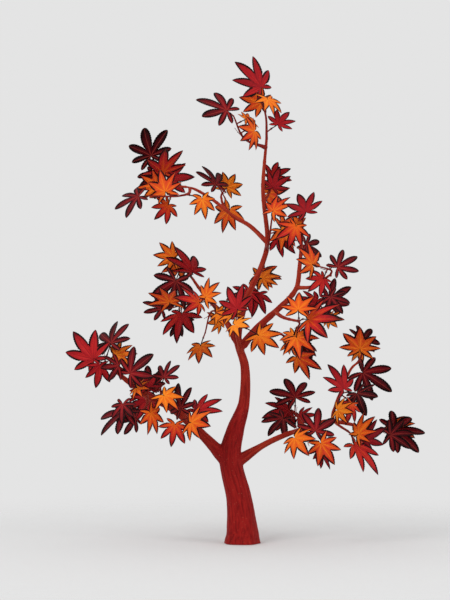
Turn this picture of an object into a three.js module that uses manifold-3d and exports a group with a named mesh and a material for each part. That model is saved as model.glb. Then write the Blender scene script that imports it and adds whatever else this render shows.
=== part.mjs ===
// Japanese maple: a small garden tree in autumn leaf, about 1.5 m tall, rooted in the ground.
// Millimetres, +Z up. The origin is the middle of the flat cut under the trunk, at ground level.
//
// The trunk and every bough is one tapering limb on a smooth curve. A bough sets out from the
// middle of its parent and is cut off just clear of the parent's bark. Every mass of leaves is
// one solid: a stem that carries on from the tip of its bough, side twigs in opposite pairs, and
// on each side twig a leaf stalk with one palm-shaped leaf. A seeded rule places the leaves.

import * as THREE from "three";
import { mergeVertices } from "three/addons/utils/BufferGeometryUtils.js";
import Module from "manifold-3d";

const wasm = await Module();
wasm.setup();

// ---------- clearances, limbs and twigs (mm) ----------

const GAP = 0.35; // between neighbouring solids
const BARK_GAP = 0.7; // from the bark of a limb to the flat foot of a stem on its side
const TRUNK_SIDES = 14;
const BOUGH_SIDES = 8;
const SHOOT_SIDES = 6;
const SHOOT_RADIUS = 10; // a bough thinner than this at its foot has the fewer sides
const STEPS_PER_SPAN = 3; // of a limb's curve, between two of its points
const SHOOT_STEPS_PER_SPAN = 2;
const SMALLEST_FACET = 0.05; // facets are merged where that moves the surface by less

const STEM_STEPS = 4;
const STEM_FOOT_RADIUS = 5;
const STEM_TIP_RADIUS = 2.2;
const STEM_STRAIGHT = 0.3; // of its reach, that a stem's first half heads straight on from its foot
const STEM_PULL = 0.25; // of its reach, that the first half heads for the stem's end
const TWIG_RADIUS = 2;
const STALK_RADIUS = 1.3;
const TWIG_SHARE = 0.4; // of the way from the stem to the blade is side twig, the rest is leaf stalk

// ---------- the rule that places the leaves ----------

const PAIR_SPACING = 0.3; // between pairs of side twigs, as a share of the stem
const PAIR_STRAY = [0.5, 1.5]; // how much that spacing varies
const LOWEST_PAIR = 0.12; // no pair sits lower than this on the stem
const TWIG_LENGTH = [22, 80]; // from the stem to the blade
const END_TWIG = 0.6; // the twig at the stem's end is shorter by this factor
const END_LEAN = [0, 40]; // degrees that the end twig leans off the stem
const SIDE_LEAN = [30, 95]; // degrees that a side twig leans off the stem
const SCATTER = 80; // degrees that a side twig strays round the stem
const SAG = 0.25; // most that a twig hangs, as a share of its length
const FACE_TURN = 50; // degrees that a blade faces left or right of straight out
const FACE_TILT = 45; // degrees that a blade faces up
const SWING = 60; // degrees that a blade points off the line of its stalk
const HANG = 0.15; // how much a blade's point drops
const SIZE_RANGE = [0.7, 1.3]; // of a kind's length
const CROWN_MIDDLE = 20; // y of the plane that the blades face away from
const LOWEST_LEAF = 60; // no leaf hangs nearer the ground
const MASS_SPACE = 310; // radius of the space that a mass keeps to, about the foot of its stem

// ---------- leaves ----------

const LEAF_THICKNESS = 3.2; // where the stalk joins the blade
const LEAF_DROOP = 0.16; // drop of the longest lobe's tip below the middle, as a share of its length
const SINUS = 0.06; // the blade's reach between its two lowest lobes

// lobes: degrees off the middle lobe, and reach as a share of the length. shoulder: where a lobe is
// widest, as a share of its reach, and the angle there on each side. notch: reach between two lobes.
const LEAF_KINDS = {
  maroon: {
    length: 84,
    lobes: [[0, 1], [44, 0.92], [86, 0.72], [130, 0.52]],
    shoulder: { reach: 0.6, angle: 9.5 },
    notch: 0.15,
    colour: 0x4a0c0e,
  },
  crimson: {
    length: 92,
    lobes: [[0, 1], [38, 0.88], [77, 0.68], [120, 0.42]],
    shoulder: { reach: 0.45, angle: 13 },
    notch: 0.18,
    colour: 0xa01a22,
  },
  orange: {
    length: 68,
    lobes: [[0, 1], [40, 0.92], [80, 0.78], [124, 0.58]],
    shoulder: null,
    notch: 0.4,
    colour: 0xd9661f,
  },
};
const BARK_COLOUR = 0x84191a;
const BARK_ROUGHNESS = 0.8;
const LEAF_ROUGHNESS = 0.55;

// ---------- the trunk and the boughs ----------
// from and at: the parent limb and how far along it the bough starts. through: the points that the
// limb's middle runs through. radii: its radius at even steps from foot to tip.

const LIMBS = {
  trunk: {
    through: [
      [0, 0, 0], [0, 0, 40], [-10, 3, 140], [-36, 8, 260], [-22, 5, 345], [6, -1, 435],
      [9, -4, 545], [-13, 0, 635], [12, 15, 750], [63, 26, 865], [79, 18, 945],
      [65, -3, 1095], [76, -15, 1255],
    ],
    radii: [56, 48.5, 39, 34.7, 28, 17.5, 13.7, 12.4, 9.5, 8.5, 7.5, 6.2, 4.3],
  },

  lower_left: {
    from: "trunk", at: 0.236,
    through: [
      [-118, 10, 330], [-205, 20, 410], [-260, 15, 440], [-300, 0, 460], [-350, -30, 500],
      [-390, -50, 535],
    ],
    radii: [20, 14.5, 14, 12.5, 11, 8.5, 5.2],
  },
  left_near: {
    from: "lower_left", at: 0.3,
    through: [[-155, -20, 380], [-155, -65, 390]],
    radii: [6.5, 3.8],
  },
  left_back: {
    from: "lower_left", at: 0.42,
    through: [[-225, 75, 435], [-250, 140, 460]],
    radii: [6.5, 3.8],
  },
  left_inner: {
    from: "lower_left", at: 0.5,
    through: [[-250, -15, 445], [-250, -50, 460]],
    radii: [6.5, 3.8],
  },
  left_front: {
    from: "lower_left", at: 0.66,
    through: [[-290, -60, 440], [-295, -110, 425]],
    radii: [6.5, 3.8],
  },
  left_riser: {
    from: "lower_left", at: 0.8,
    through: [[-335, -45, 490], [-335, -75, 510]],
    radii: [6.5, 3.8],
  },

  lower_right: {
    from: "trunk", at: 0.234,
    through: [
      [60, 40, 297], [130, 65, 329], [195, 85, 350], [260, 100, 370], [300, 105, 370],
      [350, 115, 360], [415, 125, 340],
    ],
    radii: [17, 9.6, 8.4, 8, 7.8, 7, 5.5, 4.2],
  },
  right_front: {
    from: "lower_right", at: 0.36,
    through: [[165, 0, 340], [190, -60, 330]],
    radii: [5.5, 3.8],
  },
  right_near: {
    from: "lower_right", at: 0.46,
    through: [[195, 120, 360], [180, 165, 380]],
    radii: [5.5, 3.8],
  },
  right_drop: {
    from: "lower_right", at: 0.68,
    through: [[305, 65, 360], [330, 20, 345]],
    radii: [5, 3.6],
  },
  right_riser: {
    from: "lower_right", at: 0.66,
    through: [[290, 115, 405], [315, 150, 465], [345, 175, 530], [370, 190, 555]],
    radii: [6.6, 3.6],
  },
  right_inner: {
    from: "right_riser", at: 0.3,
    through: [[300, 80, 430], [305, 40, 450]],
    radii: [4.8, 3.4],
  },

  front_bough: {
    from: "trunk", at: 0.542,
    through: [[-15, -90, 645], [-15, -190, 670]],
    radii: [8, 4],
  },
  right_limb: {
    from: "trunk", at: 0.553,
    through: [[50, -45, 670], [125, -95, 740], [165, -115, 790], [175, -120, 860], [180, -125, 925]],
    radii: [13, 11.5, 8.8, 8, 6.5, 4.8],
  },
  right_low: {
    from: "right_limb", at: 0.25,
    through: [[80, 10, 660], [125, 60, 645]],
    radii: [6, 3.6],
  },
  right_mid: {
    from: "right_limb", at: 0.33,
    through: [[125, -170, 700], [165, -240, 690]],
    radii: [6.5, 3.8],
  },
  right_outer: {
    from: "right_limb", at: 0.45,
    through: [[180, -40, 725], [225, 0, 730]],
    radii: [6.5, 3.8],
  },
  right_shoot: {
    from: "right_limb", at: 0.6,
    through: [[215, -165, 795], [265, -205, 830]],
    radii: [6.5, 3.6],
  },

  left_limb: {
    from: "trunk", at: 0.566,
    through: [[-60, 50, 705], [-95, 90, 745], [-130, 135, 785], [-155, 165, 820]],
    radii: [11, 8.5, 7, 5.5, 4.2],
  },
  left_thin: {
    from: "left_limb", at: 0.2,
    through: [[-60, 70, 705], [-80, 110, 720]],
    radii: [5, 3.2],
  },
  left_low: {
    from: "left_limb", at: 0.3,
    through: [[-65, 0, 720], [-85, -50, 740]],
    radii: [6, 3.6],
  },
  left_side: {
    from: "left_limb", at: 0.6,
    through: [[-145, 125, 745], [-175, 150, 740]],
    radii: [5.5, 3.4],
  },

  centre_bough: {
    from: "trunk", at: 0.683,
    through: [[20, 110, 780], [35, 190, 805]],
    radii: [7, 3.8],
  },
  upper_left: {
    from: "trunk", at: 0.823,
    through: [[25, 60, 985], [-25, 95, 1015], [-85, 130, 1065], [-150, 155, 1105], [-200, 175, 1115]],
    radii: [7.5, 3.8],
  },
  upper_back: {
    from: "upper_left", at: 0.45,
    through: [[-60, 180, 1060], [-65, 235, 1085]],
    radii: [5.5, 3.4],
  },
  upper_low: {
    from: "upper_left", at: 0.85,
    through: [[-165, 90, 1090], [-180, 30, 1080]],
    radii: [5.5, 3.4],
  },
};

// ---------- the masses of leaves ----------
// on and at: the limb that carries the mass, and where along it the stem starts (1 is the limb's
// tip). reach: from the stem's foot to its end. leaves: the kind of each leaf, from the end of the
// stem downwards. seed: what the rule draws its numbers from.

const MASSES = {
  crown_top: {
    on: "trunk", at: 1, reach: [-20, 0, 120], leaves: "crimson orange orange crimson",
    seed: 64525,
  },
  crown_left: {
    on: "trunk", at: 0.985, reach: [-95, -45, 92], leaves: "maroon orange orange",
    seed: 1423215,
  },
  upper_left_end: {
    on: "upper_left", at: 1, reach: [-65, 15, 60], leaves: "maroon crimson maroon orange crimson",
    seed: 422215,
  },
  upper_left_low: {
    on: "upper_low", at: 1, reach: [-95, -45, -5], leaves: "maroon orange crimson orange",
    seed: 275064,
  },
  upper_left_back: {
    on: "upper_back", at: 1, reach: [10, 20, 20], leaves: "orange maroon orange",
    seed: 634659,
  },
  upper_right: {
    on: "trunk", at: 0.808, reach: [15, -75, 100], leaves: "orange orange orange crimson",
    seed: 285318,
  },
  upper_twig: {
    on: "trunk", at: 0.9, reach: [20, 55, 50], leaves: "crimson crimson orange",
    seed: 248056,
  },
  right_limb_end: {
    on: "right_limb", at: 1, reach: [5, -10, 75], leaves: "crimson orange crimson maroon",
    seed: 195313,
  },
  right_shoot_end: {
    on: "right_shoot", at: 1, reach: [-40, -10, 25], leaves: "orange maroon crimson",
    seed: 386966,
  },
  right_outer: {
    on: "right_outer", at: 1, reach: [25, 15, 10], leaves: "maroon maroon orange crimson",
    seed: 15778,
  },
  right_mid: {
    on: "right_mid", at: 1, reach: [0, -25, -20], leaves: "orange orange orange crimson",
    seed: 772900,
  },
  right_low: {
    on: "right_low", at: 1, reach: [30, 15, -30], leaves: "orange maroon orange crimson",
    seed: 1165415,
  },
  centre_front: {
    on: "front_bough", at: 1, reach: [-5, -50, 25], leaves: "crimson orange orange orange",
    seed: 172674,
  },
  centre_back: {
    on: "centre_bough", at: 1, reach: [10, 40, 20], leaves: "orange orange crimson crimson",
    seed: 1704033,
  },
  left_limb_end: {
    on: "left_limb", at: 1, reach: [-50, 10, 50], leaves: "orange orange maroon crimson",
    seed: 658343,
  },
  left_side: {
    on: "left_side", at: 1, reach: [-40, 10, -10], leaves: "maroon orange maroon crimson",
    seed: 653860,
  },
  left_low: {
    on: "left_low", at: 1, reach: [-15, -30, 5], leaves: "orange crimson orange",
    seed: 1029563,
  },
  left_pendant: {
    on: "left_thin", at: 1, reach: [-35, 40, -70], leaves: "orange orange",
    seed: 93060,
  },
  lower_left_end: {
    on: "lower_left", at: 1, reach: [-50, -25, 30], leaves: "crimson maroon crimson orange",
    seed: 904946,
  },
  lower_left_upper: {
    on: "left_riser", at: 1, reach: [-5, -35, 10], leaves: "maroon maroon orange",
    seed: 1298979,
  },
  lower_left_inner: {
    on: "left_inner", at: 1, reach: [0, -35, 25], leaves: "maroon crimson orange",
    seed: 604121,
  },
  lower_left_front: {
    on: "left_front", at: 1, reach: [-35, -40, -5], leaves: "maroon maroon maroon orange",
    seed: 557082,
  },
  lower_left_near: {
    on: "left_near", at: 1, reach: [-5, -45, 5], leaves: "orange maroon crimson crimson",
    seed: 87960,
  },
  lower_left_back: {
    on: "left_back", at: 1, reach: [-30, 45, 15], leaves: "crimson maroon crimson",
    seed: 10,
  },
  lower_right_end: {
    on: "lower_right", at: 1, reach: [45, 5, 5], leaves: "maroon orange maroon",
    seed: 2993292,
  },
  lower_right_drop: {
    on: "right_drop", at: 1, reach: [10, -20, -15], leaves: "crimson orange crimson",
    seed: 259838,
  },
  riser_end: {
    on: "right_riser", at: 1, reach: [10, 5, 50], leaves: "maroon orange orange maroon",
    seed: 344778,
  },
  riser_inner: {
    on: "right_inner", at: 1, reach: [5, -20, 15], leaves: "crimson maroon orange crimson",
    seed: 677640,
  },
  lower_right_front: {
    on: "right_front", at: 1, reach: [15, -30, -5], leaves: "orange orange crimson maroon",
    seed: 219301,
  },
  lower_right_back: {
    on: "right_near", at: 1, reach: [-15, 25, 20], leaves: "crimson maroon crimson maroon",
    seed: 1252772,
  },
};

// ---------- tools ----------

// Draws numbers between a low and a high end, always the same ones from the same seed
function seededRandom(seed) {
  let state = seed;
  return (low, high) => {
    state = (state + 0x6d2b79f5) | 0;
    let mixed = Math.imul(state ^ (state >>> 15), 1 | state);
    mixed = (mixed + Math.imul(mixed ^ (mixed >>> 7), 61 | mixed)) ^ mixed;
    return low + ((high - low) * ((mixed ^ (mixed >>> 14)) >>> 0)) / 2 ** 32;
  };
}

const vector = (list) => new THREE.Vector3(...list);

const NEARLY_ALONG = 0.9; // cosine above which two directions can't span a plane well

const smoothCurve = (points) => new THREE.CatmullRomCurve3(points, false, "catmullrom", 0.5);

// The direction of a curve, which at each end is that of its last two points
function heading(curve, at) {
  if (at <= 0) return curve.points[1].clone().sub(curve.points[0]).normalize();
  if (at >= 1) return curve.points.at(-1).clone().sub(curve.points.at(-2)).normalize();
  return curve.getTangent(at);
}

// A value between the values of a list, which stand at even steps from 0 to 1
function between(list, at) {
  const place = at * (list.length - 1);
  const low = Math.min(Math.floor(place), list.length - 2);
  return THREE.MathUtils.lerp(list[low], list[low + 1], place - low);
}

function solidFrom(geometry) {
  return new wasm.Manifold(
    new wasm.Mesh({
      numProp: 3,
      vertProperties: Float32Array.from(geometry.attributes.position.array),
      triVerts: Uint32Array.from(geometry.index.array),
    }),
  );
}

// A closed tapering tube: a cylinder whose rings are set square on a curve, and its foot square on
// the way it is given
function tube(curve, radii, sides, steps, spare = 0, footWay = heading(curve, 0)) {
  const cylinder = new THREE.CylinderGeometry(1, 1, steps, sides, steps);
  cylinder.deleteAttribute("normal");
  cylinder.deleteAttribute("uv");
  const geometry = mergeVertices(cylinder);

  const rings = [];
  let side = new THREE.Vector3(0, 1, 0);
  for (let ring = 0; ring <= steps; ring++) {
    const at = ring / steps;
    const along = ring === 0 ? footWay : heading(curve, at);
    if (ring === 0 && Math.abs(side.dot(along)) > NEARLY_ALONG) side.set(1, 0, 0);
    side = side.clone().addScaledVector(along, -side.dot(along)).normalize();
    const lift = side.clone().cross(along);
    rings.push({ middle: curve.getPoint(at), side, lift, radius: between(radii, at) + spare });
  }

  const corners = geometry.attributes.position;
  for (let corner = 0; corner < corners.count; corner++) {
    const { middle, side, lift, radius } = rings[Math.round(corners.getY(corner) + steps / 2)];
    const place = middle
      .clone()
      .addScaledVector(side, radius * corners.getX(corner))
      .addScaledVector(lift, radius * corners.getZ(corner));
    corners.setXYZ(corner, ...place);
  }
  return solidFrom(geometry);
}

const largestOf = (solids) => solids.reduce((a, b) => (a.volume() > b.volume() ? a : b));

const meets = (one, other) => !one.intersect(other).isEmpty();

// ---------- limbs ----------

function limbCurve(name) {
  const { from, at, through } = LIMBS[name];
  const points = through.map(vector);
  if (from) points.unshift(limbCurve(from).getPoint(at));
  return smoothCurve(points);
}

function limbTube(name, spare) {
  const curve = limbCurve(name);
  const { from, radii } = LIMBS[name];
  const spans = curve.points.length - 1;
  if (radii[0] < SHOOT_RADIUS) {
    return tube(curve, radii, SHOOT_SIDES, SHOOT_STEPS_PER_SPAN * spans, spare);
  }
  return tube(curve, radii, from ? BOUGH_SIDES : TRUNK_SIDES, STEPS_PER_SPAN * spans, spare);
}

// Each limb is cut back clear of every limb that is already there
function growLimbs() {
  const limbs = {};
  const thickened = [];
  for (const name of Object.keys(LIMBS)) {
    const cut = thickened.reduce((solid, limb) => solid.subtract(limb), limbTube(name, 0));
    limbs[name] = largestOf(cut.decompose());
    thickened.push(limbTube(name, GAP));
  }
  return limbs;
}

// ---------- leaves ----------

// The corners of a blade round its middle, as [degrees off the middle lobe, share of the length]
function bladeOutline(kind) {
  const { lobes, shoulder, notch } = kind;
  const lefts = lobes.slice(1).map(([angle, reach]) => [-angle, reach]);
  const all = [...lefts.reverse(), ...lobes];
  const outline = [[-180, SINUS]];
  all.forEach(([angle, reach], index) => {
    const wide = shoulder && Math.abs(angle) < lobes.at(-1)[0];
    if (wide) outline.push([angle - shoulder.angle, reach * shoulder.reach]);
    outline.push([angle, reach]);
    if (wide) outline.push([angle + shoulder.angle, reach * shoulder.reach]);
    const next = all[index + 1];
    if (next) outline.push([(angle + next[0]) / 2, (notch * (reach + next[1])) / 2]);
  });
  return outline;
}

// A thin closed blade that is thickest in the middle and droops towards the tips of its lobes
function bladeSolid(leaf, spare) {
  const across = leaf.face.clone().cross(leaf.point);
  const half = LEAF_THICKNESS / 2 + spare;
  const corners = [
    leaf.hub.clone().addScaledVector(leaf.face, half),
    leaf.hub.clone().addScaledVector(leaf.face, -half),
  ];
  const outline = bladeOutline(leaf.kind);
  for (const [angle, share] of outline) {
    const turn = THREE.MathUtils.degToRad(angle);
    const reach = leaf.length * share + spare;
    corners.push(
      leaf.hub
        .clone()
        .addScaledVector(leaf.point, reach * Math.cos(turn))
        .addScaledVector(across, reach * Math.sin(turn))
        .addScaledVector(leaf.face, -LEAF_DROOP * leaf.length * share ** 2),
    );
  }
  const faces = outline.flatMap((_, index) => {
    const one = index + 2;
    const next = ((index + 1) % outline.length) + 2;
    return [0, one, next, 1, next, one];
  });
  const geometry = new THREE.BufferGeometry().setFromPoints(corners);
  geometry.setIndex(faces);
  return solidFrom(geometry);
}

function leafOnTwig(leaf, spare) {
  const twig = tube(smoothCurve([leaf.foot, leaf.fork, leaf.hub]), [TWIG_RADIUS, STALK_RADIUS], 3, 2, spare);
  return twig.add(bladeSolid(leaf, spare));
}

// ---------- masses of leaves ----------

// The stem's foot is square on the tip of its limb, or on the bark where it starts lower
function growStem(mass) {
  const limb = limbCurve(mass.on);
  const limbRadius = between(LIMBS[mass.on].radii, mass.at);
  const reach = vector(mass.reach);
  const along = heading(limb, mass.at);
  let clear = GAP;
  if (mass.at < 1) {
    along.copy(reach.clone().projectOnPlane(along).normalize());
    clear = limbRadius + BARK_GAP;
  }
  const foot = limb.getPoint(mass.at).addScaledVector(along, clear);
  const bend = foot
    .clone()
    .addScaledVector(along, reach.length() * STEM_STRAIGHT)
    .addScaledVector(reach, STEM_PULL);
  const curve = smoothCurve([foot, bend, foot.clone().add(reach)]);
  const radii = [Math.min(limbRadius, STEM_FOOT_RADIUS), STEM_TIP_RADIUS];
  return { curve, solid: tube(curve, radii, 3, STEM_STEPS, 0, along) };
}

// The leaves that the rule places on a stem: one at its end and the rest in opposite pairs
function placeLeaves(mass, stem) {
  const random = seededRandom(mass.seed);
  const { degToRad } = THREE.MathUtils;
  return mass.leaves.split(" ").map((kindName, index) => {
    const kind = LEAF_KINDS[kindName];
    const isEnd = index === 0;
    const pair = Math.ceil(index / 2);
    const share = isEnd ? 1 : Math.max(LOWEST_PAIR, 1 - pair * PAIR_SPACING * random(...PAIR_STRAY));
    const foot = stem.getPoint(share);
    const way = heading(stem, share);

    const lean = degToRad(random(...(isEnd ? END_LEAN : SIDE_LEAN)));
    const roll = degToRad(pair * 90 + (index % 2 ? 0 : 180) + random(-SCATTER, SCATTER));
    const other = vector(Math.abs(way.z) > NEARLY_ALONG ? [0, 1, 0] : [0, 0, 1]);
    const flat = way.clone().cross(other).normalize();
    const lift = flat.clone().cross(way);
    const aim = way
      .clone()
      .multiplyScalar(Math.cos(lean))
      .addScaledVector(flat, Math.sin(lean) * Math.cos(roll))
      .addScaledVector(lift, Math.sin(lean) * Math.sin(roll))
      .normalize();
    const length = random(...TWIG_LENGTH) * (isEnd ? END_TWIG : 1);
    const hub = foot.clone().addScaledVector(aim, length);
    hub.z -= length * random(0, SAG);
    const fork = foot.clone().addScaledVector(aim, length * TWIG_SHARE);

    const outward = hub.y <= CROWN_MIDDLE ? -1 : 1;
    const turn = degToRad(random(-FACE_TURN, FACE_TURN));
    const tilt = degToRad(random(0, FACE_TILT));
    const face = vector([
      Math.sin(turn) * Math.cos(tilt),
      outward * Math.cos(turn) * Math.cos(tilt),
      Math.sin(tilt),
    ]);
    const swing = degToRad(random(-SWING, SWING));
    const point = aim.projectOnPlane(face);
    point.z -= HANG;
    point.projectOnPlane(face).normalize().applyAxisAngle(face, swing);
    return { kind, foot, fork, hub, face, point, length: kind.length * random(...SIZE_RANGE) };
  });
}

// A leaf is left out where it would leave the mass's space or come too near what already stands
function growMass(mass, standing) {
  const stem = growStem(mass);
  let solid = stem.solid;
  for (const leaf of placeLeaves(mass, stem.curve)) {
    const inSpace = leaf.hub.distanceTo(stem.curve.points[0]) + leaf.length < MASS_SPACE;
    const offGround = leaf.hub.z - leaf.length > LOWEST_LEAF;
    if (inSpace && offGround && !meets(leafOnTwig(leaf, GAP), standing)) {
      solid = solid.add(leafOnTwig(leaf, 0));
    }
  }
  return solid;
}

// ---------- the tree ----------

function namedMesh(name, solid, colour, roughness) {
  const { vertProperties, triVerts } = solid.asOriginal().simplify(SMALLEST_FACET).getMesh();
  const geometry = new THREE.BufferGeometry();
  geometry.setAttribute("position", new THREE.BufferAttribute(vertProperties, 3));
  geometry.setIndex(new THREE.BufferAttribute(triVerts, 1));
  geometry.computeVertexNormals();
  const material = new THREE.MeshStandardMaterial({ color: colour, roughness, metalness: 0 });
  const mesh = new THREE.Mesh(geometry, material);
  mesh.name = name;
  return mesh;
}

const wood = new THREE.Group();
const foliage = new THREE.Group();

const limbs = growLimbs();
let standing = wasm.Manifold.union(Object.values(limbs));
for (const [name, solid] of Object.entries(limbs)) {
  wood.add(namedMesh(name, solid, BARK_COLOUR, BARK_ROUGHNESS));
}
for (const [name, mass] of Object.entries(MASSES)) {
  const solid = growMass(mass, standing);
  standing = standing.add(solid);
  const firstKind = LEAF_KINDS[mass.leaves.split(" ")[0]];
  foliage.add(namedMesh(`leaves_${name}`, solid, firstKind.colour, LEAF_ROUGHNESS));
}

const tree = new THREE.Group();
tree.add(wood, foliage);
export default tree;
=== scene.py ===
# %% [markdown]
# # A small Japanese maple in autumn leaf
#
# The tree is about one and a half metres tall: a red trunk that leans and straightens again,
# boughs that leave it at four heights, and open sprays of large palm-shaped leaves in maroon,
# crimson, flame and amber.
#
# The scene is grown rather than modelled. The trunk and boughs are tubes on smooth curves that
# are fused into one skin of bark. A seeded rule then sets twigs and leaves on the ends of the
# boughs, in opposite pairs as on every maple. Growing it by a rule keeps the few choices that
# matter in two small tables, and gives the same tree on every run.

import math

import bmesh
import bpy
import numpy as np
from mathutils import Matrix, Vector, noise
from mathutils.bvhtree import BVHTree


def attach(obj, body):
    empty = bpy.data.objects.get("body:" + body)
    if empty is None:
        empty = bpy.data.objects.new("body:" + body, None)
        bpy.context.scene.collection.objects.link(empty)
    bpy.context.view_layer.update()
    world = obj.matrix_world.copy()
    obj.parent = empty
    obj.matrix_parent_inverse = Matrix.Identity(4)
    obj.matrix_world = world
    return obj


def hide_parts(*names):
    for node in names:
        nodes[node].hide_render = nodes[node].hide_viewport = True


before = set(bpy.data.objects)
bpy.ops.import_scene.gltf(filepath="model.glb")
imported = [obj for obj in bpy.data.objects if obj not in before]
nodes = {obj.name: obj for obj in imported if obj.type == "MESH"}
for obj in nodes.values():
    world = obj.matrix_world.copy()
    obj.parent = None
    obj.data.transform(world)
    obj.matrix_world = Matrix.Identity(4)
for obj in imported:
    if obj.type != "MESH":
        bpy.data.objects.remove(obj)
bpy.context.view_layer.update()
leaf_nodes = sorted(name for name in nodes if name.startswith("leaves_"))
limb_nodes = sorted(name for name in nodes if not name.startswith("leaves_"))
print(len(limb_nodes), "limbs and", len(leaf_nodes), "masses of leaves in the frame")

MM = 0.001  # the tables below are in millimetres, and Blender works in metres
TINY = 1e-6  # stands for nothing in a comparison, and keeps a division from 0


def put_in_scene(name, data):
    """An object that shows the data, under its name."""
    thing = bpy.data.objects.new(name, data)
    bpy.context.scene.collection.objects.link(thing)
    return thing


# %% [markdown]
# ## The camera
#
# A long lens from far away keeps the tree's true outline, with almost no perspective. The camera
# stands level, halfway up the tree and square in front of it, as for a botanical plate.

# %% Camera
CAMERA_PLACE = (-0.0527, -7.0, 0.7533)
CAMERA_LENS = 135.5
SENSOR = 36.0

camera_data = bpy.data.cameras.new("plate_camera")
camera_data.lens = CAMERA_LENS
camera_data.sensor_width = SENSOR
camera = put_in_scene("plate_camera", camera_data)
camera.location = CAMERA_PLACE
camera.rotation_euler = (math.radians(90), 0, 0)
bpy.context.scene.camera = camera
print("camera looks along +Y from", round(-CAMERA_PLACE[1], 2), "m away")

# %% [markdown]
# ## Helpers for every material
#
# Colours are written the way a paint chart or a screen gives them, as sRGB hex, while the shader
# wants linear light, so one function turns one into the other. Another adds a node to a material
# and wires it in the same call, which keeps each material short enough to read as a recipe. Small
# things such as a leaf or a twig take a finish that is the same all over.

# %% Colour and node helpers
def linear(hex_colour):
    """An sRGB colour such as #84191a as linear red, green, blue and a full alpha."""
    parts = [int(hex_colour[i:i + 2], 16) / 255 for i in (1, 3, 5)]
    return [p / 12.92 if p <= 0.04045 else ((p + 0.055) / 1.055) ** 2.4 for p in parts] + [1.0]


def add_node(tree, kind, settings=None, inputs=None):
    """Adds a node. Inputs go by name or number, and take a value or another node's output."""
    node = tree.nodes.new(kind)
    for name, value in (settings or {}).items():
        setattr(node, name, value)
    for key, value in (inputs or {}).items():
        if isinstance(value, bpy.types.NodeSocket):
            tree.links.new(value, node.inputs[key])
        else:
            node.inputs[key].default_value = value
    return node


def new_material(name):
    """An empty node material with its name, and the tree that holds its nodes."""
    material = bpy.data.materials.new(name)
    material.use_nodes = True
    material.node_tree.nodes.clear()
    return material, material.node_tree


def plant_surface(tree, colour, roughness, ior, shine, **more):
    """Ends a material in the shader of a plant's skin."""
    shader = add_node(tree, "ShaderNodeBsdfPrincipled", inputs={
        "Base Color": colour, "Roughness": roughness, "IOR": ior, "Specular IOR Level": shine,
        **more,
    })
    add_node(tree, "ShaderNodeOutputMaterial", inputs={"Surface": shader.outputs[0]})


def plain_finish(name, hex_colour, roughness, ior, shine):
    """A plant material that is the same all over."""
    material, tree = new_material(name)
    plant_surface(tree, linear(hex_colour), roughness, ior, shine)
    return material


def map_range(tree, value, start, end, low=0.0, high=1.0, course="LINEAR"):
    """Runs from low to high as the value runs from start to end."""
    return add_node(tree, "ShaderNodeMapRange", {"interpolation_type": course}, {
        "Value": value, "From Min": start, "From Max": end, "To Min": low, "To Max": high,
    }).outputs[0]


print("dark red #84191a in linear light:", [round(x, 3) for x in linear("#84191a")])

# %% [markdown]
# ## The limbs
#
# On the real tree one leader runs from the ground to the tip, and every bough starts from the
# middle of its parent and tapers to a twig. Each row names the parent, how far along it the bough
# starts, its radius at even steps, and the points that its middle runs through. These are the
# frame's own values, so the bark lands where the solid limbs are.

# %% Table of limbs
GROUND = "ground"


def grown_from(parent, at, radii, *through):
    """A row of the table: parent, share of the way along it, radii, and points to go through."""
    return {"from": parent, "at": at, "radii": radii, "through": through}


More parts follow.
